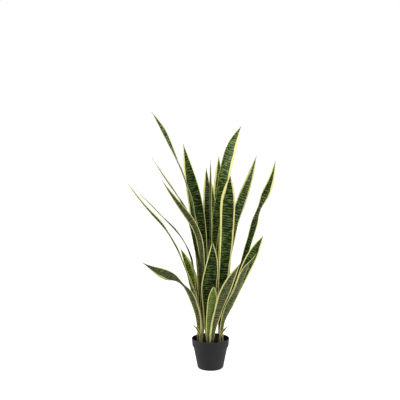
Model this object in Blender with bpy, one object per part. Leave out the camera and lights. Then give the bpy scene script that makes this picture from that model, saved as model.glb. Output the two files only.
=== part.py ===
"""Potted snake plant with yellow-edged leaves, in a black nursery pot.

The origin is the centre of the pot's underside and +Z is up. -Y is the side that the plant is
looked at from. Sizes are in millimetres until the meshes are made, which are in metres.

The plant is three clumps of stemless leaves that stand in plain holes in the soil. Each leaf is
one thin channelled blade: a section carried along a smooth spine, narrow and deep where it leaves
the soil, broad above the middle, and drawn out to a point.
"""

import math
from collections import namedtuple

import bmesh
import bpy
import numpy as np

MM = 0.001
FIT_GAP = 0.4

# Pot: a tapered body under a deep collar, moulded with an even wall. The underside has a flat
# disc in the middle and a foot ring, with a shallow groove between them for the drain holes.
POT_HEIGHT = 138.0
RIM_RADIUS = 85.0
COLLAR_FOOT = 104.0
COLLAR_FOOT_RADIUS = 82.5
STEP_FOOT = 94.0
STEP_FOOT_RADIUS = 76.5
BASE_RADIUS = 57.5
BASE_ROUNDING = 9.0
POT_WALL = 2.2
FOOT_RING_WIDTH = 7.0
BASE_DISC_RADIUS = 22.0
GROOVE_DEPTH = 3.0
FLOOR_CORNER = 3.0
POT_SIDES = 48
CORNER_STEPS = 4

DRAIN_HOLES = 6
DRAIN_HOLE_RADIUS = 4.5
DRAIN_HOLE_SIDES = 12

# Soil: fills the pot up to a finger's width below the rim. Its surface is the sum of three long
# waves, each given by its turn in radians for a millimetre of x and of y, and where it starts.
SOIL_LEVEL = 113.0
SOIL_SWELL = 0.8
SOIL_WAVES = ((0.060, 0.0, 0.4), (0.0, 0.075, 1.1), (0.048, 0.048, 2.0))
SOIL_RINGS = 6
HOLE_RISE = 6.0

# Leaf section: thickness at the rib and at the margin, and the channel's depth as a share of half
# the width. Each has its value at the soil, at the broadest part and at the tip.
RIB_THICKNESS = (4.2, 2.2, 1.1)
MARGIN_THICKNESS = (1.6, 1.0, 0.9)
CHANNEL_SHARE = (0.50, 0.13, 0.30)
SPINE_HEIGHT_SHARE = 0.4
ACROSS = (-1.0, -0.5, 0.0, 0.5, 1.0)

# Leaf outline: the width at the soil as a share of the broadest, and how round the outline is
# below and above its broadest part.
ROOT_DEPTH = 26.0
ROOT_WIDTH_SHARE = 0.32
RISE_POWER = 1.25
FALL_POWER = 2.4
TIP_HALF_WIDTH = 0.9
STATION_SPACING = 42.0
TIP_STATIONS = (0.90, 0.94, 0.97, 0.988, 1.0)
SPINE_SAMPLES = 400

# The margins' slow ripple. Each leaf's starts a golden angle on from the last one's, and its left
# margin runs ahead of its right one.
RIPPLE = 2.2
RIPPLE_PITCH = 165.0
RIPPLE_TURN = 2.4
MARGIN_LEAD = 1.9
FULL_RIPPLE_WIDTH = 50.0

LEAF_GREEN = (0.030, 0.075, 0.028, 1.0)
POT_BLACK = (0.033, 0.033, 0.035, 1.0)
SOIL_BROWN = (0.020, 0.014, 0.010, 1.0)

# Each leaf: its name, its width where it is broadest, how far along that is, and its spine from
# the soil to the tip. A point of the spine is x, y, z and the bearing in degrees that the leaf's
# inner face looks to there: 0 is towards -Y, 90 towards +X and 180 towards +Y.
Leaf = namedtuple("Leaf", "name width belly spine")
S = SOIL_LEVEL
LEAVES = (
    Leaf("leaf_left_01", 55, 0.74, [(-34, 32, S, 85), (-37, 30, 305, 88), (-66, 24, 665, 92),
                                    (-134, 12, 905, 96), (-170, 5, 985, 85), (-207, -2, 1065, 66),
                                    (-260, -10, 1155, 75)]),
    Leaf("leaf_left_02", 66, 0.62, [(-42, 48, S, 50), (-36, 58, 300, 5), (-53, 70, 640, 0),
                                    (-79, 78, 800, 0), (-106, 88, 920, 10), (-123, 97, 1010, 20)]),
    Leaf("leaf_left_03", 48, 0.62, [(-45, 12, S, 88), (-51, 10, 380, 86), (-64, 10, 520, 80),
                                    (-87, 14, 630, 75), (-119, 22, 730, 78), (-187, 40, 835, 95),
                                    (-264, 70, 950, 90)]),
    Leaf("leaf_left_04", 39, 0.66, [(-40, -6, S, 105), (-34, -10, 300, 120), (-41, -20, 525, 132),
                                    (-70, -34, 645, 142), (-129, -60, 735, 142),
                                    (-212, -95, 860, 130)]),
    Leaf("leaf_left_05", 46, 0.62, [(-47, -24, S, 100), (-46, -28, 250, 100), (-74, -40, 360, 95),
                                    (-123, -56, 495, 95), (-202, -85, 650, 91),
                                    (-277, -105, 740, 90), (-358, -130, 850, 88)]),
    Leaf("leaf_left_06", 40, 0.60, [(-58, -3, S, 90), (-59, 0, 265, 88), (-76, 0, 445, 86),
                                    (-115, 0, 570, 88), (-206, 5, 680, 90), (-280, 15, 755, 90),
                                    (-334, 25, 805, 90)]),
    Leaf("leaf_left_07", 56, 0.62, [(-56, -38, S, 130), (-54, -46, 205, 135), (-72, -62, 300, 140),
                                    (-98, -80, 365, 125), (-133, -100, 410, 120),
                                    (-190, -130, 449, 150), (-242, -155, 479, 140),
                                    (-304, -182, 522, 112)]),
    Leaf("leaf_left_08", 48, 0.60, [(-57, 26, S, 80), (-60, 28, 215, 70), (-71, 32, 350, 36),
                                    (-98, 48, 455, 30), (-137, 72, 535, 40)]),
    Leaf("leaf_left_09", 12, 0.50, [(-46, -52, S, 90), (-50, -58, 175, 50), (-83, -66, 220, 40)]),
    Leaf("leaf_centre_01", 60, 0.82, [(3, 22, S, -45), (3, 30, 310, -40), (17, 42, 580, -35),
                                      (34, 49, 690, -35), (50, 56, 785, -35), (76, 70, 925, -33),
                                      (98, 82, 1000, -35), (138, 98, 1090, -45)]),
    Leaf("leaf_centre_02", 44, 0.76, [(10, 64, S, -20), (27, 84, 320, -20), (29, 120, 565, -15),
                                      (34, 144, 770, -10), (40, 170, 950, 0)]),
    Leaf("leaf_centre_03", 44, 0.55, [(8, 42, S, 10), (5, 50, 300, 5), (20, 72, 575, 0),
                                      (15, 86, 710, 5), (4, 103, 845, 10)]),
    Leaf("leaf_centre_04", 34, 0.76, [(-4, -10, S, 90), (-5, -2, 310, 102), (0, 6, 540, 110),
                                      (-2, 18, 740, 110), (0, 40, 940, 110)]),
    Leaf("leaf_centre_05", 40, 0.76, [(-10, 56, S, 20), (-13, 76, 300, 20), (-8, 90, 525, 20),
                                      (-14, 108, 710, 20), (-19, 132, 900, 25)]),
    Leaf("leaf_centre_06", 68, 0.54, [(-8, -27, S, 0), (-8, -34, 225, 0), (-8, -39, 295, 0),
                                      (-8, -48, 380, 0), (5, -62, 485, 5), (7, -76, 590, 0)]),
    Leaf("leaf_centre_07", 55, 0.62, [(1, -64, S, -150), (17, -86, 220, -150),
                                      (41, -106, 310, -150), (70, -138, 400, -150),
                                      (121, -185, 510, -140)]),
    Leaf("leaf_centre_08", 46, 0.70, [(-8, -46, S, 175), (-6, -63, 195, 175), (3, -83, 280, 175),
                                      (10, -96, 340, 170), (13, -110, 400, 165)]),
    Leaf("leaf_right_01", 66, 0.80, [(40, 12, S, -80), (47, 6, 250, -60), (62, -14, 470, 0),
                                     (73, -24, 655, 0), (77, -30, 790, 0), (86, -34, 875, 5)]),
    Leaf("leaf_right_02", 55, 0.70, [(44, 38, S, -50), (64, 43, 262, -50), (89, 60, 550, -45),
                                     (124, 75, 700, -45), (166, 90, 815, -42), (210, 110, 955, -55)]),
    Leaf("leaf_right_03", 48, 0.68, [(48, -6, S, -85), (60, -4, 230, -86), (95, 0, 350, -68),
                                     (143, 3, 475, -66), (175, 5, 575, -58), (203, 7, 680, -64),
                                     (219, 8, 725, -76), (248, 9, 795, -26), (270, 10, 855, -26),
                                     (288, 15, 940, -50)]),
    Leaf("leaf_right_04", 54, 0.74, [(54, -22, S, -75), (60, -32, 225, -62), (102, -46, 330, -50),
                                     (146, -56, 440, -42), (182, -66, 520, -35),
                                     (228, -82, 615, -40)]),
    Leaf("leaf_right_05", 50, 0.62, [(49, -42, S, -120), (57, -65, 235, -130), (92, -84, 325, -135),
                                     (123, -104, 400, -130), (149, -122, 475, -128),
                                     (193, -150, 545, -105)]),
    Leaf("leaf_right_06", 12, 0.50, [(36, -58, S, -90), (45, -68, 170, -55), (78, -80, 215, -40)]),
)


def material(name, colour, roughness):
    """A plain Principled material."""
    made = bpy.data.materials.new(name)
    made.use_nodes = True
    shader = made.node_tree.nodes["Principled BSDF"]
    shader.inputs["Base Color"].default_value = colour
    shader.inputs["Roughness"].default_value = roughness
    made.diffuse_color = colour
    return made


def add_object(name, bm, finish):
    """Makes an object of a bmesh drawn in millimetres, and frees the bmesh."""
    bmesh.ops.scale(bm, vec=(MM, MM, MM), verts=bm.verts)
    mesh = bpy.data.meshes.new(name)
    bm.to_mesh(mesh)
    bm.free()
    mesh.materials.append(finish)
    obj = bpy.data.objects.new(name, mesh)
    bpy.context.scene.collection.objects.link(obj)
    return obj


def cut_away(obj, cutters):
    """Subtracts every cutter from obj, and takes the cutters out of the scene."""
    tools = bpy.data.collections.new(obj.name + "_cutters")
    bpy.context.scene.collection.children.link(tools)
    for cutter in cutters:
        bpy.context.scene.collection.objects.unlink(cutter)
        tools.objects.link(cutter)
    cut = obj.modifiers.new("cut", "BOOLEAN")
    cut.operation = "DIFFERENCE"
    cut.operand_type = "COLLECTION"
    cut.collection = tools
    bpy.context.view_layer.update()
    graph = bpy.context.evaluated_depsgraph_get()
    obj.data = bpy.data.meshes.new_from_object(obj.evaluated_get(graph))
    obj.modifiers.clear()
    for cutter in cutters:
        bpy.data.objects.remove(cutter)
    bpy.data.collections.remove(tools)


def smooth(obj, angle):
    """Shades obj smooth, with edges sharper than angle degrees kept crisp."""
    obj.data.shade_smooth()
    obj.data.set_sharp_from_angle(angle=math.radians(angle))


def turned(profile, sides):
    """A solid of revolution about Z. The profile is a list of (radius, height) from axis to axis."""
    bm = bmesh.new()
    verts = [bm.verts.new((radius, 0.0, height)) for radius, height in profile]
    edges = [bm.edges.new(pair) for pair in zip(verts, verts[1:])]
    bmesh.ops.spin(bm, geom=verts + edges, cent=(0, 0, 0), axis=(0, 0, 1),
                   angle=2 * math.pi, steps=sides, use_merge=True)
    bmesh.ops.remove_doubles(bm, verts=bm.verts, dist=0.01)
    bmesh.ops.recalc_face_normals(bm, faces=bm.faces)
    return bm


def arc(centre, radius, start, end):
    """Points on a round corner, from start to end degrees."""
    angles = np.radians(np.linspace(start, end, CORNER_STEPS + 1))
    return [(centre[0] + radius * math.cos(a), centre[1] + radius * math.sin(a)) for a in angles]


def outer_radius(height):
    """The radius of the pot's outer wall at that height, without the base's rounding."""
    heights = (0.0, STEP_FOOT, COLLAR_FOOT, POT_HEIGHT)
    radii = (BASE_RADIUS, STEP_FOOT_RADIUS, COLLAR_FOOT_RADIUS, RIM_RADIUS)
    return float(np.interp(height, heights, radii))


def inner_radius(height):
    """The radius of the pot's inner wall at that height."""
    return outer_radius(height) - POT_WALL


def base_corner():
    """The centre of the base's rounding, which is tangent to the tapered wall and to the ground."""
    taper = math.atan2(STEP_FOOT_RADIUS - BASE_RADIUS, STEP_FOOT)
    return outer_radius(BASE_ROUNDING) - BASE_ROUNDING / math.cos(taper), BASE_ROUNDING


def foot_ring():
    """The inner and outer radius of the foot ring's flat."""
    outer = base_corner()[0]
    return outer - FOOT_RING_WIDTH, outer


def floor_height():
    """The height of the pot's inner floor."""
    return GROOVE_DEPTH + POT_WALL


def make_pot(finish):
    """The pot: grooved underside, rounded base, tapered body, stepped collar and a round lip."""
    taper = math.degrees(math.atan2(STEP_FOOT_RADIUS - BASE_RADIUS, STEP_FOOT))
    ring_inner = foot_ring()[0]
    lip = (RIM_RADIUS - POT_WALL / 2, POT_HEIGHT - POT_WALL / 2)
    profile = [(0.0, 0.0), (BASE_DISC_RADIUS, 0.0),
               (BASE_DISC_RADIUS + GROOVE_DEPTH, GROOVE_DEPTH),
               (ring_inner - GROOVE_DEPTH, GROOVE_DEPTH), (ring_inner, 0.0)]
    profile += arc(base_corner(), BASE_ROUNDING, -90, -taper)
    profile += [(STEP_FOOT_RADIUS, STEP_FOOT), (COLLAR_FOOT_RADIUS, COLLAR_FOOT)]
    profile += arc(lip, POT_WALL / 2, 0, 180)
    profile += [(inner_radius(COLLAR_FOOT), COLLAR_FOOT), (inner_radius(STEP_FOOT), STEP_FOOT)]
    floor = floor_height()
    profile += [(inner_radius(floor) - FLOOR_CORNER, floor), (0.0, floor)]
    pot = add_object("pot", turned(profile, POT_SIDES), finish)
    cut_away(pot, [drain_cutter(index, finish) for index in range(DRAIN_HOLES)])
    smooth(pot, 40)
    return pot


def drain_cutter(index, finish):
    """A short rod through the floor, in the middle of the groove."""
    turn = 2 * math.pi * index / DRAIN_HOLES
    middle = (BASE_DISC_RADIUS + foot_ring()[0]) / 2
    bm = bmesh.new()
    bmesh.ops.create_cone(bm, cap_ends=True, segments=DRAIN_HOLE_SIDES, radius1=DRAIN_HOLE_RADIUS,
                          radius2=DRAIN_HOLE_RADIUS, depth=4 * POT_WALL)
    place = (middle * math.cos(turn), middle * math.sin(turn), floor_height())
    bmesh.ops.translate(bm, verts=bm.verts, vec=place)
    return add_object("drain_cutter", bm, finish)


def soil_swell(x, y):
    """How far the soil's surface stands above its level at a point."""
    waves = [math.sin(turn_x * x + turn_y * y + start) for turn_x, turn_y, start in SOIL_WAVES]
    return SOIL_SWELL * sum(waves)


def make_soil(finish):
    """The soil: the pot's inside up to the soil level, with a hole for the foot of each leaf."""
    bottom = floor_height() + FIT_GAP
    edge = inner_radius(SOIL_LEVEL) - FIT_GAP
    profile = [(0.0, bottom), (inner_radius(bottom) - FLOOR_CORNER - FIT_GAP, bottom)]
    profile += [(inner_radius(height) - FIT_GAP, height) for height in (STEP_FOOT, COLLAR_FOOT)]
    profile += [(radius, SOIL_LEVEL) for radius in np.linspace(edge, 0.0, SOIL_RINGS + 1)]
    bm = turned(profile, POT_SIDES)
    for vert in bm.verts:
        inside = math.hypot(vert.co.x, vert.co.y) < edge - 1.0
        if inside and vert.co.z > SOIL_LEVEL - 1.0:
            vert.co.z += soil_swell(vert.co.x, vert.co.y)
    bmesh.ops.triangulate(bm, faces=bm.faces)
    soil = add_object("soil", bm, finish)
    cut_away(soil, [add_object("root_cutter", root_plug(leaf), finish) for leaf in LEAVES])
    return soil


def natural_spline(knots, values, at):
    """Values of the smooth curve through the knots that ends straight (a natural cubic spline)."""
    knots, values = np.asarray(knots, float), np.asarray(values, float)
    gaps = np.diff(knots)
    system = np.eye(len(knots))
    pull = np.zeros_like(values)
    for i in range(1, len(knots) - 1):
        system[i, i - 1:i + 2] = gaps[i - 1], 2 * (gaps[i - 1] + gaps[i]), gaps[i]
        after = (values[i + 1] - values[i]) / gaps[i]
        before = (values[i] - values[i - 1]) / gaps[i - 1]
        pull[i] = 6 * (after - before)
    bend = np.linalg.solve(system, pull)
    seg = np.clip(np.searchsorted(knots, at, side="right") - 1, 0, len(gaps) - 1)
    shape = (-1,) + (1,) * (values.ndim - 1)
    gap = gaps[seg].reshape(shape)
    ahead = (knots[seg + 1] - at).reshape(shape)
    behind = (at - knots[seg]).reshape(shape)
    curve = (bend[seg] * ahead**3 + bend[seg + 1] * behind**3) / (6 * gap)
    curve = curve + (values[seg] / gap - bend[seg] * gap / 6) * ahead
    return curve + (values[seg + 1] / gap - bend[seg + 1] * gap / 6) * behind


class Spine:
    """The middle line of a leaf, by arc length from the soil, with the way its inner face looks."""

    def __init__(self, leaf):
        points = np.array(leaf.spine, float)
        chords = np.linalg.norm(np.diff(points[:, :3], axis=0), axis=1)
        knots = np.concatenate([[0.0], np.cumsum(chords)])
        fine = np.linspace(0.0, knots[-1], SPINE_SAMPLES)
        self.line = natural_spline(knots, points[:, :3], fine)
        self.bearing = natural_spline(knots, points[:, 3], fine)
        steps = np.linalg.norm(np.diff(self.line, axis=0), axis=1)
        self.along = np.concatenate([[0.0], np.cumsum(steps)])
        self.tangents = np.gradient(self.line, self.along, axis=0)
        self.length = float(self.along[-1])

    def read(self, table, distance):
        """The row of a table of vectors at a distance from the soil."""
        return np.array([np.interp(distance, self.along, column) for column in table.T])

    def at(self, distance):
        """Point, width direction and inner-face direction at a distance from the soil.

        Below the soil the spine runs on straight.
        """
        above = max(distance, 0.0)
        tangent = self.read(self.tangents, above)
        tangent /= np.linalg.norm(tangent)
        point = self.read(self.line, above) + min(distance, 0.0) * tangent
        bearing = math.radians(np.interp(above, self.along, self.bearing))
        inward = np.array([math.sin(bearing), -math.cos(bearing), 0.0])
        inward -= inward.dot(tangent) * tangent
        inward /= np.linalg.norm(inward)
        return point, np.cross(tangent, inward), inward


def blend(share, values, belly):
    """A section value at a share of the leaf's length, from those at soil, belly and tip."""
    return float(np.interp(share, (0.0, belly, 1.0), values))


def half_width(leaf, share):
    """Half the blade's width: it broadens evenly to the belly, then closes to a point."""
    rise = 1 - (1 - min(share / leaf.belly, 1.0)) ** RISE_POWER
    fall = 1 - max((share - leaf.belly) / (1 - leaf.belly), 0.0) ** FALL_POWER
    full = ROOT_WIDTH_SHARE + (1 - ROOT_WIDTH_SHARE) * rise
    return max(leaf.width / 2 * full * fall, TIP_HALF_WIDTH)


def ripple(leaf, share, distance, t):
    """How far a margin stands out of the blade's channel, which is nothing at the rib."""
    size = RIPPLE * math.sin(math.pi * share) * min(leaf.width / FULL_RIPPLE_WIDTH, 1.0)
    start = RIPPLE_TURN * LEAVES.index(leaf) + (MARGIN_LEAD if t < 0 else 0.0)
    return size * t * t * math.sin(2 * math.pi * distance / RIPPLE_PITCH + start)


def section(leaf, spine, distance, grow=0.0):
    """The closed outline of the blade at a distance from the soil: inner face, then outer face.

    t runs across the blade from -1 at one margin to 1 at the other. The channel is a parabola in
    t, and the thickness falls evenly from the rib to the margins. grow makes the outline fatter.
    """
    share = min(max(distance / spine.length, 0.0), 1.0)
    half = half_width(leaf, share)
    channel = half * blend(share, CHANNEL_SHARE, leaf.belly)
    rib = blend(share, RIB_THICKNESS, leaf.belly) / 2 + grow
    margin = blend(share, MARGIN_THICKNESS, leaf.belly) / 2 + grow
    point, sideways, inward = spine.at(distance)
    inner, outer = [], []
    for t in ACROSS:
        across = t * (half + grow)
        lift = channel * ((across / half) ** 2 - SPINE_HEIGHT_SHARE)
        lift += ripple(leaf, share, distance, t)
        middle = point + sideways * across + inward * lift
        thick = rib + (margin - rib) * abs(t)
        inner.append(middle + inward * thick)
        outer.append(middle - inward * thick)
    return inner, outer


def skin(sections):
    """A closed solid through a row of sections.

    Both faces are split into triangles alike, so that a thin waved blade never crosses itself.
    """
    bm = bmesh.new()
    inner = [[bm.verts.new(point) for point in faces[0]] for faces in sections]
    outer = [[bm.verts.new(point) for point in faces[1]] for faces in sections]
    last = len(ACROSS) - 1
    for i in range(len(sections) - 1):
        for j in range(last):
            a, b, c, d = inner[i][j], inner[i][j + 1], inner[i + 1][j + 1], inner[i + 1][j]
            bm.faces.new((a, b, c))
            bm.faces.new((a, c, d))
            a, b, c, d = outer[i][j], outer[i][j + 1], outer[i + 1][j + 1], outer[i + 1][j]
            bm.faces.new((a, c, b))
            bm.faces.new((a, d, c))
        bm.faces.new((outer[i][0], inner[i][0], inner[i + 1][0], outer[i + 1][0]))
        bm.faces.new((inner[i][last], outer[i][last], outer[i + 1][last], inner[i + 1][last]))
    for j in range(last):
        bm.faces.new((inner[0][j + 1], inner[0][j], outer[0][j], outer[0][j + 1]))
        bm.faces.new((inner[-1][j], inner[-1][j + 1], outer[-1][j + 1], outer[-1][j]))
    bmesh.ops.triangulate(bm, faces=[face for face in bm.faces if len(face.verts) > 3])
    bmesh.ops.recalc_face_normals(bm, faces=bm.faces)
    return bm


def stations(spine):
    """Distances of a leaf's sections from the soil: the foot, even steps, then closer at the tip."""
    body = TIP_STATIONS[0] * spine.length
    steps = max(3, round(body / STATION_SPACING))
    even = np.linspace(0.0, body, steps + 1)[:-1]
    return [-ROOT_DEPTH, *even, *(share * spine.length for share in TIP_STATIONS)]


def root_plug(leaf):
    """The cutter for a leaf's hole: the foot of the leaf, grown by the gap, up past the soil."""
    spine = Spine(leaf)
    reach = (-ROOT_DEPTH - FIT_GAP, 0.0, HOLE_RISE)
    return skin([section(leaf, spine, distance, grow=FIT_GAP) for distance in reach])


def make_leaf(leaf, finish):
    """One leaf, from its foot in the soil to its tip."""
    spine = Spine(leaf)
    blade = add_object(leaf.name, skin([section(leaf, spine, d) for d in stations(spine)]), finish)
    smooth(blade, 50)
    return blade


def main():
    for obj in list(bpy.data.objects):
        bpy.data.objects.remove(obj)
    make_pot(material("pot_plastic", POT_BLACK, 0.55))
    make_soil(material("soil", SOIL_BROWN, 0.95))
    green = material("leaf", LEAF_GREEN, 0.45)
    for leaf in LEAVES:
        make_leaf(leaf, green)


main()
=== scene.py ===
"""A potted snake plant with yellow-edged leaves: the fine shape and the finish of every piece.

The frame holds each piece in its place, in metres, with +Z up. The viewer stands on the -Y side.
Sections follow the plant as it is put together: pot, soil, leaves, then the studio round it.
"""
import math

import bmesh
import bpy
import numpy as np
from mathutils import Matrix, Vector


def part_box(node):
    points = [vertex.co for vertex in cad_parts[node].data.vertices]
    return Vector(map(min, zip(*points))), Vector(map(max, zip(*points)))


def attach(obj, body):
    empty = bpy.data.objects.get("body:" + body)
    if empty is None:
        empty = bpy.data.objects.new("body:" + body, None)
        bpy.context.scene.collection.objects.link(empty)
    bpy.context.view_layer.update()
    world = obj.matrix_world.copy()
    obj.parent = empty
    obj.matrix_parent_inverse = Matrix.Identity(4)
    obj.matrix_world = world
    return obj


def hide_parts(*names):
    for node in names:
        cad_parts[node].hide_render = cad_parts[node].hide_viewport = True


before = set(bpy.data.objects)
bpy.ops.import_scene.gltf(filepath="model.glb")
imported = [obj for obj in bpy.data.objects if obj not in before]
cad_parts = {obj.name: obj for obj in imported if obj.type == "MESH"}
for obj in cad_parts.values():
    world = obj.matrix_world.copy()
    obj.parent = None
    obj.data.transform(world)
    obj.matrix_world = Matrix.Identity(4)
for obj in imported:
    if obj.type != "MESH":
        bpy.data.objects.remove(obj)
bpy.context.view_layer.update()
MM = 0.001

# The pot: a common nursery pot, injection moulded in one shot from polypropylene that is dyed
# charcoal right through. It has an even thin wall with a deep collar and a rolled lip, and stands
# on a flat disc and a foot ring, with the drain holes in the groove between them.
POT_WALL = 2.2 * MM
COLLAR_FOOT = 104.0 * MM
COLLAR_FOOT_RADIUS = 82.5 * MM
STEP_FOOT = 94.0 * MM
STEP_FOOT_RADIUS = 76.5 * MM
BASE_RADIUS = 57.5 * MM
BASE_ROUNDING = 9.0 * MM
FOOT_RING_WIDTH = 7.0 * MM
BASE_DISC_RADIUS = 22.0 * MM
GROOVE_DEPTH = 3.0 * MM
MOULD_ROUNDING = 1.2 * MM
STEP_ROUNDING = 3.5 * MOULD_ROUNDING
LIP_ROUNDING = 0.95 * POT_WALL / 2
FLOOR_ROUNDING = 3 * MOULD_ROUNDING
INNERMOST_RADIUS = 0.4 * BASE_DISC_RADIUS
POT_SIDES = 160
ARC_STEPS = 6
CREASE_DEGREES = 50
DRAIN_HOLES = 6
DRAIN_HOLE_RADIUS = 4.5 * MM
DRAIN_HOLE_SIDES = 32
DRILL_HEIGHT = 3 * GROOVE_DEPTH
MOULD_GRAIN = 0.7 * MM
TONE_PATCH = 45 * MM
# The band at the top of the lip that is painted paler: a painted highlight along the rounded lip,
# with rubbed wear.
LIP_HIGHLIGHT_AND_WEAR = 1.4 * MM
pot_low, pot_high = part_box("pot")
rim_radius = (pot_high.x - pot_low.x) / 2
pot_height = pot_high.z


def linear(hex_colour):
    """The linear RGBA of an sRGB hex colour: each channel by the sRGB curve's two pieces."""
    channels = [int(hex_colour[i:i + 2], 16) / 255 for i in (1, 3, 5)]
    flat = [c / 12.92 if c <= 0.04045 else ((c + 0.055) / 1.055) ** 2.4 for c in channels]
    return (*flat, 1.0)


def new_material(name):
    """A material with nothing but its Principled shader and output, its tree and that shader."""
    made = bpy.data.materials.new(name)
    made.use_nodes = True
    return made, made.node_tree, made.node_tree.nodes["Principled BSDF"]


def add(tree, kind, inputs, **settings):
    """Adds one shader node. inputs maps its sockets to a value or to the socket that feeds them.

    A socket goes by its number where names repeat: a Map Range has its two ranges on 1 to 4, and a
    Mix has its two vectors on 4 and 5 and its two colours on 6 and 7.
    """
    node = tree.nodes.new(kind)
    for name, value in settings.items():
        setattr(node, name, value)
    for socket, value in inputs.items():
        if isinstance(value, bpy.types.NodeSocket):
            tree.links.new(value, node.inputs[socket])
        else:
            node.inputs[socket].default_value = value
    return node


def ramp(tree, value, stops):
    """Adds a colour ramp over value. stops are pairs of a place from 0 to 1 and a linear colour."""
    node = tree.nodes.new("ShaderNodeValToRGB")
    tree.links.new(value, node.inputs["Fac"])
    node.color_ramp.interpolation = "EASE"
    for place, colour in stops[2:]:
        node.color_ramp.elements.new(place).color = colour
    for element, (place, colour) in zip(node.color_ramp.elements, sorted(stops)):
        element.position = place
        element.color = colour
    return node.outputs["Color"]


def rounded(corners, steps):
    """A profile with its inner corners rounded, as an array of (radius, height) points.

    Each corner is (radius, height, rounding). The rounding is the quadratic curve that leaves the
    corner's two edges at that distance from it, so it is tangent to both.
    """
    points = np.array([corner[:2] for corner in corners], float)
    t = np.linspace(0.0, 1.0, steps + 1)[:, None]
    out = [points[:1]]
    for before, corner, after, size in zip(points, points[1:], points[2:], corners[1:-1]):
        start = corner + size[2] * (before - corner) / np.linalg.norm(before - corner)
        end = corner + size[2] * (after - corner) / np.linalg.norm(after - corner)
        out.append((1 - t) ** 2 * start + 2 * t * (1 - t) * corner + t ** 2 * end)
    return np.concatenate([*out, points[-1:]])


def turned(profile, sides):
    """Rows of points round Z: each (radius, height) of the profile, at equal turns."""
    turn = np.linspace(0.0, 2 * np.pi, sides, endpoint=False)
    radius, height = profile[:, :1], profile[:, 1:]
    return np.stack([radius * np.cos(turn), radius * np.sin(turn), height + 0 * turn], axis=-1)


def closed_object(name, rows, material):
    """A closed, smooth-shaded object over a grid of points: rows by around by xyz.

    Each row is a loop. A quad joins each point with the next in its row and with the two below,
    and a fan of triangles closes the first and the last row to the middle of that row.
    """
    count, around = rows.shape[:2]
    number = np.arange(count * around).reshape(count, around)
    ahead = np.roll(number, -1, axis=1)
    quads = np.stack([number[:-1], ahead[:-1], ahead[1:], number[1:]], axis=-1).reshape(-1, 4)
    ends = np.broadcast_to(np.array([[count * around], [count * around + 1]]), (2, around))
    fans = np.stack([ahead[[0, -1]], number[[0, -1]], ends], axis=-1)
    fans[1] = fans[1][:, [1, 0, 2]]
    middles = rows[[0, -1]].mean(axis=1)
    mesh = bpy.data.meshes.new(name)
    mesh.from_pydata(np.concatenate([rows.reshape(-1, 3), middles]), [],
                     quads.tolist() + fans.reshape(-1, 3).tolist())
    bm = bmesh.new()
    bm.from_mesh(mesh)
    bmesh.ops.recalc_face_normals(bm, faces=bm.faces)
    bm.to_mesh(mesh)
    bm.free()
    mesh.shade_smooth()
    mesh.materials.append(material)
    made = bpy.data.objects.new(name, mesh)
    bpy.context.scene.collection.objects.link(made)
    return made


def wall_radius(height):
    """The radius of the pot's outer wall at a height: straight runs between the four bends."""
    heights = (0.0, STEP_FOOT, COLLAR_FOOT, pot_height)
    return float(np.interp(height, heights, (BASE_RADIUS, STEP_FOOT_RADIUS,
                                             COLLAR_FOOT_RADIUS, rim_radius)))


def pot_profile():
    """The pot's section from the underside's middle, up the outside, over the lip and back in."""
    floor = GROOVE_DEPTH + POT_WALL
    ring_outer = BASE_RADIUS
    ring_inner = ring_outer - BASE_ROUNDING - FOOT_RING_WIDTH
    return rounded([
        (INNERMOST_RADIUS, 0.0, 0.0),
        (BASE_DISC_RADIUS, 0.0, MOULD_ROUNDING),
        (BASE_DISC_RADIUS + GROOVE_DEPTH, GROOVE_DEPTH, MOULD_ROUNDING),
        (ring_inner - GROOVE_DEPTH, GROOVE_DEPTH, MOULD_ROUNDING),
        (ring_inner, 0.0, MOULD_ROUNDING),
        (ring_outer, 0.0, BASE_ROUNDING),
        (STEP_FOOT_RADIUS, STEP_FOOT, STEP_ROUNDING),
        (COLLAR_FOOT_RADIUS, COLLAR_FOOT, STEP_ROUNDING),
        (rim_radius, pot_height, LIP_ROUNDING),
        (rim_radius - POT_WALL, pot_height, LIP_ROUNDING),
        (wall_radius(COLLAR_FOOT) - POT_WALL, COLLAR_FOOT, MOULD_ROUNDING),
        (wall_radius(STEP_FOOT) - POT_WALL, STEP_FOOT, MOULD_ROUNDING),
        (wall_radius(floor) - POT_WALL, floor, FLOOR_ROUNDING),
        (BASE_DISC_RADIUS, floor, 0.3 * MOULD_ROUNDING),
        (INNERMOST_RADIUS, floor, 0.0),
    ], ARC_STEPS)


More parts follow.
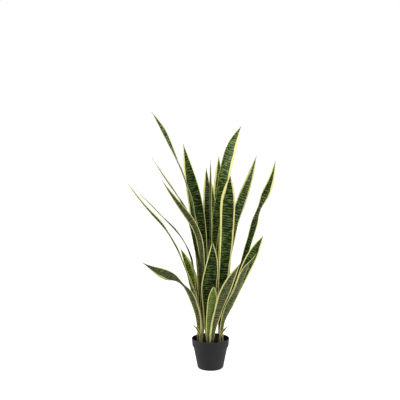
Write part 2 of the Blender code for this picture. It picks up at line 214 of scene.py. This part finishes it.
def pot_material():
    """Moulded charcoal polypropylene: satin, with a fine spark-eroded grain from the mould.

    The top of the lip is painted paler in patches: partly rubbed wear, and partly a painted
    highlight along the rounded lip.
    """
    made, tree, shader = new_material("charcoal_polypropylene")
    place = add(tree, "ShaderNodeTexCoord", {}).outputs["Object"]
    grain = add(tree, "ShaderNodeTexNoise", {"Vector": place, "Scale": 1 / MOULD_GRAIN})
    cloud = add(tree, "ShaderNodeTexNoise", {"Vector": place, "Scale": 1 / TONE_PATCH, "Detail": 4})
    tone = ramp(tree, cloud.outputs["Fac"], [(0.3, linear("#202021")), (0.7, linear("#262627"))])
    height = add(tree, "ShaderNodeSeparateXYZ", {0: place}).outputs["Z"]
    # Painted highlight with rubbed wear: the top of the lip is painted paler in patches.
    lip = add(tree, "ShaderNodeMapRange", {0: height, 1: pot_height - LIP_HIGHLIGHT_AND_WEAR, 2: pot_height})
    lip_highlight_and_wear = add(tree, "ShaderNodeMath", {0: lip.outputs[0], 1: cloud.outputs["Fac"]},
               operation="MULTIPLY")
    colour = add(tree, "ShaderNodeMix", {"Factor": lip_highlight_and_wear.outputs[0], 6: tone,
                                         7: linear("#3c3c3d")}, data_type="RGBA")
    rough = add(tree, "ShaderNodeMapRange", {0: cloud.outputs["Fac"], 1: 0.3, 2: 0.7,
                                             3: 0.42, 4: 0.54})
    bump = add(tree, "ShaderNodeBump", {"Height": grain.outputs["Fac"], "Strength": 0.25,
                                        "Distance": 0.05 * MM})
    tree.links.new(colour.outputs[2], shader.inputs["Base Color"])
    tree.links.new(rough.outputs[0], shader.inputs["Roughness"])
    tree.links.new(bump.outputs[0], shader.inputs["Normal"])
    shader.inputs["Specular IOR Level"].default_value = 0.4
    return made


def drill(piece, cutters):
    """Cuts each cutter out of the piece, keeps the result as its mesh, and drops the cutters."""
    for cutter in cutters:
        hole = piece.modifiers.new("hole", "BOOLEAN")
        hole.operation = "DIFFERENCE"
        hole.object = cutter
    bpy.context.view_layer.update()
    graph = bpy.context.evaluated_depsgraph_get()
    piece.data = bpy.data.meshes.new_from_object(piece.evaluated_get(graph))
    piece.modifiers.clear()
    for cutter in cutters:
        bpy.data.objects.remove(cutter)


pot_plastic = pot_material()
pot = closed_object("nursery_pot", turned(pot_profile(), POT_SIDES), pot_plastic)
hole_circle = (BASE_DISC_RADIUS + BASE_RADIUS - BASE_ROUNDING - FOOT_RING_WIDTH) / 2
hole_profile = np.array([(DRAIN_HOLE_RADIUS, 0.0), (DRAIN_HOLE_RADIUS, DRILL_HEIGHT)])
drills = []
for index in range(DRAIN_HOLES):
    angle = 2 * math.pi * index / DRAIN_HOLES
    place = hole_circle * np.array((math.cos(angle), math.sin(angle), 0))
    rod = turned(hole_profile, DRAIN_HOLE_SIDES) + place
    drills.append(closed_object(f"drill_{index}", rod, pot_plastic))
drill(pot, drills)
pot.data.shade_smooth()
pot.data.set_sharp_from_angle(angle=math.radians(CREASE_DEGREES))
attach(pot, "root")
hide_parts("pot")

# The soil: moist peat-based potting soil, poured in round the roots and settled. It is a low
# uneven bed with crumbs standing out of it, and loose crumbs and bits of dark bark lie on top.
SOIL_LEVEL = 113.0 * MM
SOIL_SEED = 7
SOIL_ROWS = 100
SOIL_SIDES = 300
SOIL_FOOT_SHARE = 0.7
BED_REACH = 0.985
CRUMBS_IN_BED = 1500
CRUMB_RADII = (1.1 * MM, 3.6 * MM)
CRUMB_FLATNESS = 0.7
CRUMB_BATCHES = 30
BED_WAVES = 18
BED_WAVE_LENGTHS = (14 * MM, 60 * MM)
BED_WAVE_HEIGHT = 0.35 * MM
LOOSE_CRUMBS = 220
LOOSE_CRUMB_RADII = (1.0 * MM, 3.0 * MM)
LOOSE_CRUMB_STRETCH = (0.7, 1.1)
BARK_BITS = 60
BARK_RADII = (1.6 * MM, 3.4 * MM)
BARK_STRETCH = (0.35, 1.5)
DENTS = (0.8, 1.12)
LUMP_RISE = 0.2
EDGE_STRIP = 3 * MM
TRIES = 3
FOOT_REACH = 5 * MM
FAR_AWAY = 10.0
soil_low, soil_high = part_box("soil")
soil_radius = (soil_high.x - soil_low.x) / 2


def points_of(node):
    """The corners of a CAD node, each once, and its triangles as numbers of those corners."""
    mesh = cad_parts[node].data
    places = np.empty(len(mesh.vertices) * 3, np.float32)
    mesh.vertices.foreach_get("co", places)
    corners = np.empty(len(mesh.loops), np.int32)
    mesh.loops.foreach_get("vertex_index", corners)
    points, number = np.unique(places.reshape(-1, 3).round(6), axis=0, return_inverse=True)
    return points.astype(float), number.reshape(-1)[corners].reshape(-1, 3)


def bed_height(x, y, crumbs):
    """The soil's height at x and y: a sum of slow waves, under the tops of half-sunk crumbs.

    Each wave is a sine across its own direction. A crumb is a flattened ball, and where several
    cover a point the highest one counts.
    """
    rng = np.random.default_rng(SOIL_SEED)
    lengths = rng.uniform(*BED_WAVE_LENGTHS, BED_WAVES)
    ways = rng.uniform(0, 2 * np.pi, BED_WAVES)
    phases = rng.uniform(0, 2 * np.pi, BED_WAVES)
    across = x[..., None] * np.cos(ways) + y[..., None] * np.sin(ways)
    height = BED_WAVE_HEIGHT * np.sin(2 * np.pi * across / lengths + phases).sum(axis=-1)
    top = np.zeros_like(x)
    for part in np.array_split(crumbs, CRUMB_BATCHES):
        away = (x[..., None] - part[:, 0]) ** 2 + (y[..., None] - part[:, 1]) ** 2
        dome = np.sqrt(np.clip(part[:, 2] ** 2 - away, 0, None))
        top = np.maximum(top, dome.max(axis=-1))
    return height + CRUMB_FLATNESS * top


def soil_material():
    """Peat soil: near black and dull where moist, with browner dry tops on some crumbs."""
    made, tree, shader = new_material("peat_soil")
    place = add(tree, "ShaderNodeTexCoord", {}).outputs["Object"]
    crumb = add(tree, "ShaderNodeTexNoise", {"Vector": place, "Scale": 1 / (5 * MM), "Detail": 5})
    grit = add(tree, "ShaderNodeTexNoise", {"Vector": place, "Scale": 1 / (0.8 * MM), "Detail": 3})
    fibre = add(tree, "ShaderNodeTexVoronoi", {"Vector": place, "Scale": 1 / (2.4 * MM)})
    tone = ramp(tree, crumb.outputs["Fac"], [(0.3, linear("#0f0b08")), (0.55, linear("#1f1710")),
                                             (0.75, linear("#33261a"))])
    colour = add(tree, "ShaderNodeMix", {"Factor": grit.outputs["Fac"], 6: tone,
                                         7: linear("#140f0b")}, data_type="RGBA")
    relief = add(tree, "ShaderNodeMath", {0: grit.outputs["Fac"], 1: fibre.outputs["Distance"]},
                 operation="ADD")
    bump = add(tree, "ShaderNodeBump", {"Height": relief.outputs[0], "Strength": 0.8,
                                        "Distance": 0.4 * MM})
    tree.links.new(colour.outputs[2], shader.inputs["Base Color"])
    shader.inputs["Roughness"].default_value = 0.92
    tree.links.new(bump.outputs[0], shader.inputs["Normal"])
    return made


def bark_material():
    """Composted pine bark: dark red-brown, with paler fibres."""
    made, tree, shader = new_material("composted_bark")
    place = add(tree, "ShaderNodeTexCoord", {}).outputs["Object"]
    fibre = add(tree, "ShaderNodeTexNoise", {"Vector": place, "Scale": 1 / (2 * MM), "Detail": 4})
    tone = ramp(tree, fibre.outputs["Fac"], [(0.3, linear("#1c120b")), (0.6, linear("#3a2617")),
                                             (0.8, linear("#5a4029"))])
    bump = add(tree, "ShaderNodeBump", {"Height": fibre.outputs["Fac"], "Strength": 0.6,
                                        "Distance": 0.3 * MM})
    tree.links.new(tone, shader.inputs["Base Color"])
    shader.inputs["Roughness"].default_value = 0.85
    tree.links.new(bump.outputs[0], shader.inputs["Normal"])
    return made


def soil_rows(crumbs):
    """Rows of points over the soil: its underside, its side, and its top in rings to the middle."""
    lower = soil_radius * SOIL_FOOT_SHARE
    side = np.array([(lower * 0.5, soil_low.z), (lower, soil_low.z + 1 * MM),
                     (soil_radius - 4 * MM, STEP_FOOT), (soil_radius, COLLAR_FOOT + 2 * MM)])
    rings = soil_radius * (1 - np.linspace(0, BED_REACH, SOIL_ROWS))
    top = np.stack([rings, np.full(SOIL_ROWS, SOIL_LEVEL)], axis=-1)
    rows = turned(np.concatenate([side, top]), SOIL_SIDES)
    bed = rows[len(side):]
    bed[..., 2] += bed_height(bed[..., 0], bed[..., 1], crumbs)
    return rows


def scattered(count, radii, rng, keep_off, clearance):
    """Random places over the soil, an array of x, y and radius, clear of the points to keep off."""
    turn = rng.uniform(0, 2 * np.pi, TRIES * count)
    out = (soil_radius - EDGE_STRIP) * np.sqrt(rng.uniform(0, 1, TRIES * count))
    size = rng.uniform(*radii, TRIES * count)
    places = np.stack([out * np.cos(turn), out * np.sin(turn), size], axis=-1)
    gap = np.linalg.norm(places[:, None, :2] - keep_off[None, :, :2], axis=-1).min(axis=1)
    return places[gap > clearance + size][:count]


def lumps(name, places, stretch, material, rng):
    """One object of closed angular lumps: balls of eighty faces, stretched, dented and turned.

    Every ball is the same icosphere times its own radius, its own stretch along three axes and a
    random dent at each corner, turned by a random rotation, and set a little under half into the
    soil.
    """
    bm = bmesh.new()
    bmesh.ops.create_icosphere(bm, subdivisions=2, radius=1.0)
    ball = np.array([vert.co for vert in bm.verts])
    faces = np.array([[vert.index for vert in face.verts] for face in bm.faces])
    bm.free()
    count = len(places)
    form = ball * rng.uniform(*DENTS, (count, len(ball), 1))
    form = form * rng.uniform(*stretch, (count, 1, 3)) * places[:, None, 2:]
    turn, _ = np.linalg.qr(rng.normal(size=(count, 3, 3)))
    turn *= np.linalg.det(turn)[:, None, None]
    bed = SOIL_LEVEL + bed_height(places[:, 0], places[:, 1], bed_crumbs)
    height = bed + LUMP_RISE * places[:, 2]
    centre = np.stack([places[:, 0], places[:, 1], height], axis=-1)
    points = form @ turn + centre[:, None]
    numbers = faces[None] + (np.arange(count) * len(ball))[:, None, None]
    mesh = bpy.data.meshes.new(name)
    mesh.from_pydata(points.reshape(-1, 3), [], numbers.reshape(-1, 3).tolist())
    mesh.shade_smooth()
    mesh.materials.append(material)
    made = bpy.data.objects.new(name, mesh)
    bpy.context.scene.collection.objects.link(made)
    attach(made, "root")
    return made


leaf_nodes = sorted(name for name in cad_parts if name.startswith("leaf"))
leaf_feet = np.concatenate([points_of(name)[0] for name in leaf_nodes])
leaf_feet = leaf_feet[np.abs(leaf_feet[:, 2] - SOIL_LEVEL) < FOOT_REACH]
soil_rng = np.random.default_rng(SOIL_SEED)
nothing_near = np.full((1, 3), FAR_AWAY)
bed_crumbs = scattered(CRUMBS_IN_BED, CRUMB_RADII, soil_rng, nothing_near, 0.0)
peat = soil_material()
soil = closed_object("potting_soil", soil_rows(bed_crumbs), peat)
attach(soil, "root")
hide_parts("soil")
crumb_places = scattered(LOOSE_CRUMBS, LOOSE_CRUMB_RADII, soil_rng, leaf_feet, 2 * MM)
lumps("soil_crumbs", crumb_places, LOOSE_CRUMB_STRETCH, peat, soil_rng)
bark_places = scattered(BARK_BITS, BARK_RADII, soil_rng, leaf_feet, 3 * MM)
lumps("bark_bits", bark_places, BARK_STRETCH, bark_material(), soil_rng)

# The leaves: stiff, thick, waxy blades that each grow straight up from the soil. Paler zigzag
# bands cross the green centre, both margins are pale yellow and rounded, and the blade ends in a
# hard dry point.
ROW_SPACING = 4.5 * MM
AROUND = 44
MARGIN_ROUNDNESS = 0.28
POINT_LENGTH = 12 * MM
POINT_ROWS = 9
POINT_ROUNDING = 2.5 * MM
POINT_OPENING = 0.02 * POINT_ROUNDING
MARGIN_SHARE = 0.5
MARGIN_SPREAD = 4.0
# How wide each leaf's yellow margins are in millimetres, left and right as the viewer sees it:
# left at the foot, left at the tip, right at the foot, right at the tip. None takes up more than
# MARGIN_SHARE of half the blade, and PLAIN_MARGINS is for the leaves that aren't listed.
PLAIN_MARGINS = (4.0, 4.0, 4.0, 4.0)
MARGINS = {
    "leaf_left_01": (0.8, 1.2, 2.5, 1.0),
    "leaf_left_02": (4.0, 9.0, 3.0, 2.0),
    "leaf_left_03": (2.0, 3.0, 3.0, 6.0),
    "leaf_left_04": (5.0, 12.0, 3.0, 3.0),
    "leaf_left_05": (4.0, 8.0, 2.0, 1.0),
    "leaf_left_06": (0.6, 0.6, 0.6, 0.6),
    "leaf_left_07": (11.0, 16.0, 4.0, 1.0),
    "leaf_left_08": (3.0, 3.0, 10.0, 14.0),
    "leaf_centre_01": (1.2, 1.2, 8.0, 14.0),
    "leaf_centre_02": (7.0, 9.0, 2.0, 2.0),
    "leaf_centre_04": (1.0, 1.0, 3.0, 1.0),
    "leaf_centre_05": (5.0, 9.0, 2.0, 2.0),
    "leaf_centre_06": (5.0, 4.5, 2.5, 5.0),
    "leaf_centre_07": (6.5, 6.0, 5.0, 7.0),
    "leaf_centre_08": (3.0, 3.5, 6.0, 11.0),
    "leaf_right_01": (4.5, 16.0, 6.5, 6.0),
    "leaf_right_02": (3.0, 9.0, 5.0, 12.0),
    "leaf_right_03": (3.0, 5.0, 4.0, 12.0),
    "leaf_right_04": (5.0, 4.0, 5.0, 9.0),
    "leaf_right_05": (2.0, 5.0, 4.0, 3.0),
}
CRIMP = 0.45 * MM
CRIMP_LENGTHS = (19 * MM, 31 * MM, 53 * MM)
CRIMP_FADE = 40 * MM
LEAF_NUMBER_STEP = 37.0
FACE_NUMBER_STEP = 11.0
BAND_PITCH = 11.5
YELLOW_EDGE = (1.42, 1.62)
BROWN_EDGE = (0.50, 0.56)
DRY_POINT = (6.0, 11.0)
# Heights in millimetres over which the painted shade at the leaves' feet fades out.
PAINTED_FOOT_SHADE = (20.0, 95.0)


def unit(vector):
    """The vector at length one, along its last axis."""
    return vector / np.linalg.norm(vector, axis=-1, keepdims=True)


def rings_of(node):
    """The blade's rings from its foot to its tip: an array of rings by ten points by xyz.

    The solid is a chain of ten-point rings. The foot's ring is the ten lowest points, and the next
    ring is always the set of new points that the edges from the last one lead to.
    """
    points, faces = points_of(node)
    edges = np.concatenate([faces[:, [0, 1]], faces[:, [1, 2]], faces[:, [2, 0]]])
    edges = np.concatenate([edges, edges[:, ::-1]])
    ring_of = np.full(len(points), -1)
    ring_of[np.argsort(points[:, 2])[:10]] = 0
    count = len(points) // 10
    for ring in range(1, count):
        reached = edges[ring_of[edges[:, 0]] == ring - 1, 1]
        ring_of[reached[ring_of[reached] < 0]] = ring
    return points[np.argsort(ring_of, kind="stable")].reshape(count, 10, 3)


def paired(ring, across, inward):
    """Sorts a ring's ten points into five pairs across the blade, the inner face's point first.

    The points are sorted along the direction across, and each pair spans the blade's thickness.
    Both directions are then measured from the pairs, and the sorting is done again with them.
    """
    for _ in range(2):
        pairs = ring[np.argsort(ring @ across)].reshape(5, 2, 3)
        through = pairs[:, 0] - pairs[:, 1]
        through = through * np.sign(through @ inward)[:, None]
        inward = unit(through.sum(axis=0))
        width = pairs[4].mean(axis=0) - pairs[0].mean(axis=0)
        across = unit(width - (width @ inward) * inward)
    return pairs.mean(axis=1), np.linalg.norm(through, axis=1) / 2, across, inward


def sections_of(node):
    """The blade in its rings: middle points (by five across), half thickness, inward direction.

    The sorting starts at the widest ring and goes from ring to ring both ways, so that each starts
    from its neighbour's directions. The inner face is the one that the margins curl towards.
    """
    rings = rings_of(node)
    spans = rings[:, :, None] - rings[:, None]
    reach = np.linalg.norm(spans, axis=-1).reshape(len(rings), -1)
    widest = int(reach.max(axis=1).argmax())
    start = unit(spans[widest].reshape(-1, 3)[reach[widest].argmax()])
    lengthwise = unit(rings[widest - 1].mean(axis=0) - rings[widest + 1].mean(axis=0))
    middle = np.empty((len(rings), 5, 3))
    half_thick = np.empty((len(rings), 5))
    inwards = np.empty((len(rings), 3))
    for way in (range(widest, len(rings)), range(widest, -1, -1)):
        across, inward = start, unit(np.cross(lengthwise, start))
        for k in way:
            middle[k], half_thick[k], across, inward = paired(rings[k], across, inward)
            inwards[k] = inward
    curl = (middle[:, 0] + middle[:, 4]) / 2 - middle[:, 2]
    return middle, half_thick, inwards * np.sign((curl * inwards).sum())


def natural_spline(knots, values, at):
    """Rows of values read at places of the smooth curve through the knots, which ends straight.

    A natural cubic spline: its bend at the knots is the solution of a tridiagonal system, and each
    stretch between two knots is the cubic with those bends and those values at its ends.
    """
    gaps = np.diff(knots)
    system = np.eye(len(knots))
    inner = np.arange(1, len(knots) - 1)
    system[inner, inner - 1], system[inner, inner + 1] = gaps[:-1], gaps[1:]
    system[inner, inner] = 2 * (gaps[:-1] + gaps[1:])
    slopes = np.diff(values, axis=0) / gaps[:, None]
    pull = np.zeros_like(values)
    pull[1:-1] = 6 * np.diff(slopes, axis=0)
    bend = np.linalg.solve(system, pull)
    k = np.clip(np.searchsorted(knots, at, side="right") - 1, 0, len(gaps) - 1)
    gap, ahead, behind = gaps[k][:, None], (knots[k + 1] - at)[:, None], (at - knots[k])[:, None]
    curve = (bend[k] * ahead ** 3 + bend[k + 1] * behind ** 3) / (6 * gap)
    curve += (values[k] / gap - bend[k] * gap / 6) * ahead
    return curve + (values[k + 1] / gap - bend[k + 1] * gap / 6) * behind


def across_weights(t):
    """What each of the five points across counts for at t, from -1 at a margin to 1 at the other.

    Each side of the rib is the parabola through its three points.
    """
    out = np.abs(t)
    rib, halfway, margin = (1 - out) * (1 - 2 * out), 4 * out * (1 - out), out * (2 * out - 1)
    left = t < 0
    none = np.zeros_like(t)
    return np.stack([np.where(left, margin, none), np.where(left, halfway, none), rib,
                     np.where(left, none, halfway), np.where(left, none, margin)], axis=-1)


def row_places(length):
    """Distances of the rows from the foot: even steps, then ever closer ones in the point."""
    body = np.linspace(0, length - POINT_LENGTH, round((length - POINT_LENGTH) / ROW_SPACING))
    point = length - POINT_LENGTH * (1 - np.sin(np.linspace(0, np.pi / 2, POINT_ROWS)))
    return np.concatenate([body[:-1], point[:-1], [length - POINT_OPENING]])


def crimp(distance, t, rng):
    """Small irregular waves that grow towards the margins: a sum of three sines on each side."""
    total = 0.0
    for length in CRIMP_LENGTHS:
        left, right = rng.uniform(0, 2 * np.pi, 2)
        phase = np.where(t < 0, left, right)
        total = total + np.sin(2 * np.pi * distance[:, None] / length + phase)
    return CRIMP / len(CRIMP_LENGTHS) * t ** 2 * total


def blade(node, number):
    """The fine skin of a leaf: rows of loops, with the leaf's own measures at every point.

    A loop runs over the inner face and back over the outer one. At the angle a round it, t is
    sin(a), and the point lies off the blade's middle by the thickness times a power of cos(a),
    which rounds the margins. Rows close to nothing at the tip as a circle does. A yellow margin
    goes from its width at the foot to that at the tip with a power of the distance.

    The measures leaf_place are millimetres across from the rib and up from the soil, and a number
    that is the leaf's own. The measures leaf_edge are how far in a point is from the margin, in
    widths of its yellow, millimetres to the tip, and the face: 0 is the inner one and 1 the outer.
    """
    middle, half_thick, inwards = sections_of(node)
    rib = middle[:, 2]
    knots = np.concatenate([[0], np.cumsum(np.linalg.norm(np.diff(rib, axis=0), axis=1))])
    length = knots[-1]
    distance = row_places(length)
    rows = len(distance)
    middle = natural_spline(knots, middle.reshape(-1, 15), distance).reshape(rows, 5, 3)
    thick = np.stack([np.interp(distance, knots, column) for column in half_thick.T], axis=-1)
    inward = unit(natural_spline(knots, inwards, distance))
    angle = np.linspace(0, 2 * np.pi, AROUND, endpoint=False)
    t = np.sin(angle)
    face = np.sign(np.cos(angle)) * np.abs(np.cos(angle)) ** MARGIN_ROUNDNESS
    weights = across_weights(t)
    to_tip = length - distance
    close = np.sqrt(1 - np.clip(1 - to_tip / POINT_ROUNDING, 0, 1) ** 2)[:, None, None]
    centre = middle[:, 2:3]
    sheet = centre + close * (np.einsum("jk,rkc->rjc", weights, middle) - centre)
    fade = np.clip(to_tip / CRIMP_FADE, 0, 1) * np.clip(distance / CRIMP_FADE, 0, 1)
    lift = crimp(distance, t, np.random.default_rng(number)) * fade[:, None]
    lift += face * np.einsum("jk,rk->rj", weights, thick) * close[..., 0]
    loops = sheet + inward[:, None] * lift[..., None]
    half_width = np.linalg.norm(middle[:, 4] - middle[:, 0], axis=1)[:, None] / 2
    above_soil = distance[:, None] - (knots[1] - knots[0])
    facing = np.sign((middle[:, 4, 0] - middle[:, 0, 0]).sum())
    left_foot, left_tip, right_foot, right_tip = MARGINS.get(node, PLAIN_MARGINS)
    foot_width = np.where(t * facing < 0, left_foot, right_foot)
    tip_width = np.where(t * facing < 0, left_tip, right_tip)
    spread = (distance[:, None] / length) ** MARGIN_SPREAD
    yellow = np.minimum((foot_width + (tip_width - foot_width) * spread) * MM,
                        MARGIN_SHARE * half_width)
    measures = {
        "leaf_place": (t * half_width / MM, above_soil / MM, LEAF_NUMBER_STEP * number),
        "leaf_edge": ((1 - np.abs(t)) * half_width / yellow, to_tip[:, None] / MM,
                      0.5 - face / 2),
    }
    return loops, measures


def keep_measures(piece, measures, rows, around):
    """Stores each set of three measures on the mesh's points, with the end rows' means last."""
    for name, parts in measures.items():
        grid = np.stack([np.broadcast_to(part, (rows, around)) for part in parts], axis=-1)
        ends = grid[[0, -1]].mean(axis=1)
        values = np.concatenate([grid.reshape(-1, 3), ends]).astype(np.float32)
        layer = piece.data.attributes.new(name, "FLOAT_VECTOR", "POINT")
        layer.data.foreach_set("vector", values.ravel())


def leaf_material(name, dark, middle, light, back, margin):
    """Snake plant leaf: a waxy cuticle over banded green, with pale margins and a dry point.

    Sizes are in millimetres on the leaf. Fine threads run lengthwise and feather the bands' edges,
    a slower noise bends the bands into zigzags, and a sine of the bent height gives the bands.
    The outer face has bands of its own, greyer and flatter. Two noises make the line uneven where
    a margin's yellow ends, and its very edge is browner. The foot is darkened towards the soil as
    painted shade, standing in for the shadow inside the pot. Noise also makes the ends of the dry
    point and of that painted shade at the foot uneven.
    """
    made, tree, shader = new_material(name)
    place = add(tree, "ShaderNodeAttribute", {}, attribute_name="leaf_place").outputs["Vector"]
    edges = add(tree, "ShaderNodeAttribute", {}, attribute_name="leaf_edge").outputs["Vector"]
    edge = add(tree, "ShaderNodeSeparateXYZ", {0: edges})
    side = add(tree, "ShaderNodeVectorMath", {0: place, 1: (0.0, 0.0, FACE_NUMBER_STEP)},
               operation="ADD")
    spot = add(tree, "ShaderNodeMix", {"Factor": edge.outputs[2], 4: place,
                                       5: side.outputs[0]}, data_type="VECTOR").outputs[1]

    def noise(across, along, detail=2.0):
        """Noise with grains of that size across and along the leaf."""
        scaled = add(tree, "ShaderNodeVectorMath", {0: spot, 1: (1 / across, 1 / along, 1.0)},
                     operation="MULTIPLY")
        grains = add(tree, "ShaderNodeTexNoise", {"Vector": scaled.outputs[0], "Scale": 1.0,
                                                  "Detail": detail})
        return grains.outputs["Fac"]

    def sum_of(first, *others):
        """The sum of a socket and of others, each with its factor."""
        total = first
        for socket, factor in others:
            total = add(tree, "ShaderNodeMath", {0: socket, 1: factor, 2: total},
                        operation="MULTIPLY_ADD").outputs[0]
        return total

    def mixed(factor, first, second):
        """One colour over another by a factor."""
        return add(tree, "ShaderNodeMix", {"Factor": factor, 6: first, 7: second},
                   data_type="RGBA").outputs[2]

    def between(value, low, high, start=0.0, end=1.0):
        """The value moved from the range low to high onto start to end, smoothly, and held."""
        return add(tree, "ShaderNodeMapRange", {0: value, 1: low, 2: high, 3: start, 4: end},
                   interpolation_type="SMOOTHSTEP").outputs[0]

    threads = noise(1.3, 26)
    zigzag = noise(7, 20)
    drift = noise(60, 90)
    height = add(tree, "ShaderNodeSeparateXYZ", {0: place}).outputs["Y"]
    bent = sum_of(height, (threads, 7.0), (zigzag, 8.0), (drift, 34.0))
    turns = add(tree, "ShaderNodeMath", {0: bent, 1: 2 * math.pi / BAND_PITCH},
                operation="MULTIPLY")
    wave = add(tree, "ShaderNodeMath", {0: turns.outputs[0]}, operation="SINE").outputs[0]
    strength = sum_of(noise(26, 12), (wave, 0.16), (threads, 0.25))
    green = ramp(tree, strength, [(0.45, linear(dark)), (0.65, linear(middle)),
                                  (0.84, linear(light))])
    grey = mixed(between(strength, 0.4, 0.85, 0.3, 1.0), linear(dark), linear(back))
    centre = mixed(between(edge.outputs[2], 0.4, 0.6, 0.0, 0.85), green, grey)
    rim = sum_of(edge.outputs[0], (threads, 0.5), (noise(8, 40), 0.5))
    yellow = mixed(noise(2, 60), linear(margin), linear("#dbd98a"))
    banded = mixed(between(rim, *YELLOW_EDGE), yellow, centre)
    edged = mixed(between(rim, *BROWN_EDGE), linear("#a79a55"), banded)
    tip = sum_of(edge.outputs[1], (threads, 6.0))
    tipped = mixed(between(tip, *DRY_POINT), linear("#6a5433"), edged)
    # Painted shade: the blade is darkened towards its foot at the soil, standing in for the shadow
    # inside the pot.
    foot = sum_of(height, (noise(5, 9), 18.0))
    painted_foot_shade = mixed(between(foot, *PAINTED_FOOT_SHADE, 0.25, 1.0), linear("#221a12"), tipped)
    relief = sum_of(noise(0.9, 60), (noise(5, 16), 0.6), (strength, 0.3))
    bump = add(tree, "ShaderNodeBump", {"Height": relief, "Strength": 0.35,
                                        "Distance": 0.35 * MM})
    tree.links.new(painted_foot_shade, shader.inputs["Base Color"])
    tree.links.new(between(noise(14, 50), 0.3, 0.7, 0.36, 0.5), shader.inputs["Roughness"])
    tree.links.new(bump.outputs[0], shader.inputs["Normal"])
    shader.inputs["Specular IOR Level"].default_value = 0.16
    return made


mature = leaf_material("mature_leaf", "#061204", "#243a0b", "#5f7034", "#6b7049", "#f4ee9c")
fresh = leaf_material("fresh_leaf", "#10210a", "#3b5416", "#7b8e45", "#6f774d", "#f5ef9a")
young = leaf_material("young_leaf", "#47600f", "#6c8a2b", "#a3bb5c", "#7f8b50", "#f6ec8e")
YOUNG_LEAVES = ("leaf_centre_08", "leaf_left_08")
FRESH_LEAVES = ("leaf_left_01", "leaf_centre_01", "leaf_centre_02", "leaf_centre_03",
                "leaf_right_02")
for number, node in enumerate(leaf_nodes, start=1):
    loops, measures = blade(node, number)
    finish = young if node in YOUNG_LEAVES else fresh if node in FRESH_LEAVES else mature
    piece = closed_object(node.replace("leaf", "blade"), loops, finish)
    keep_measures(piece, measures, *loops.shape[:2])
    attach(piece, "root")
    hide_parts(node)

# The studio: a wide plain white floor under an even white sky, and a large soft lamp on each side.
# The sky lights the plant less than it shows, so that the lamps give the leaves form.
FLOOR_RADIUS = 14.0
FLOOR_MIDDLE = 0.5
FLOOR_BOTTOM = -0.02
FLOOR_TOP = -0.0002
FLOOR_SIDES = 96
FLOOR_GLOW = 0.55
SKY_SEEN = 1.0
SKY_LIGHT = 0.56
LAMP_SIZE = 1.9
LEFT_LAMP = (-2.55, -0.45, 2.1)
LEFT_LAMP_WATTS = 95.0
RIGHT_LAMP = (2.5, -1.1, 1.6)
RIGHT_LAMP_WATTS = 70.0
LAMP_AIM = (0.0, 0.0, 0.55)

floor_material, _, floor_shader = new_material("white_floor")
floor_shader.inputs["Base Color"].default_value = linear("#f4f4f4")
floor_shader.inputs["Roughness"].default_value = 0.9
floor_shader.inputs["Emission Color"].default_value = (1.0, 1.0, 1.0, 1.0)
floor_shader.inputs["Emission Strength"].default_value = FLOOR_GLOW
floor_profile = np.array([(FLOOR_MIDDLE, FLOOR_BOTTOM), (FLOOR_RADIUS, FLOOR_BOTTOM),
                          (FLOOR_RADIUS, FLOOR_TOP), (FLOOR_MIDDLE, FLOOR_TOP)])
floor = closed_object("floor", turned(floor_profile, FLOOR_SIDES), floor_material)
floor.data.shade_flat()
floor.visible_diffuse = False
floor.visible_glossy = False

world = bpy.data.worlds.new("white_sky")
bpy.context.scene.world = world
world.use_nodes = True
sky_tree = world.node_tree
seen = add(sky_tree, "ShaderNodeLightPath", {}).outputs["Is Camera Ray"]
glow = add(sky_tree, "ShaderNodeMapRange", {0: seen, 3: SKY_LIGHT, 4: SKY_SEEN})
sky = sky_tree.nodes["Background"]
sky.inputs["Color"].default_value = (1.0, 1.0, 1.0, 1.0)
sky_tree.links.new(glow.outputs[0], sky.inputs["Strength"])


def soft_lamp(name, place, watts):
    """A square area lamp at a place, turned towards the middle of the plant."""
    data = bpy.data.lights.new(name, "AREA")
    data.size = LAMP_SIZE
    data.energy = watts
    lamp = bpy.data.objects.new(name, data)
    lamp.location = place
    way = np.array(LAMP_AIM) - np.array(place)
    lamp.rotation_euler = (math.acos(-way[2] / np.linalg.norm(way)), 0.0,
                           math.atan2(way[1], way[0]) - math.pi / 2)
    bpy.context.scene.collection.objects.link(lamp)


soft_lamp("left_lamp", LEFT_LAMP, LEFT_LAMP_WATTS)
soft_lamp("right_lamp", RIGHT_LAMP, RIGHT_LAMP_WATTS)

PHOTO_WIDTH = 400
FOCAL_LENGTH_IN_PIXELS = 813.0
CAMERA_PITCH = math.radians(5.79)
CAMERA_PLACE = (-0.0475, -3.6, 1.13)
camera_data = bpy.data.cameras.new("camera")
camera_data.sensor_width = 36.0
camera_data.lens = FOCAL_LENGTH_IN_PIXELS / PHOTO_WIDTH * camera_data.sensor_width
camera_data.clip_end = 100.0
camera = bpy.data.objects.new("camera", camera_data)
camera.location = CAMERA_PLACE
camera.rotation_euler = (math.pi / 2 - CAMERA_PITCH, 0.0, 0.0)
bpy.context.scene.collection.objects.link(camera)
bpy.context.scene.camera = camera
bpy.context.scene.view_settings.view_transform = "Standard"
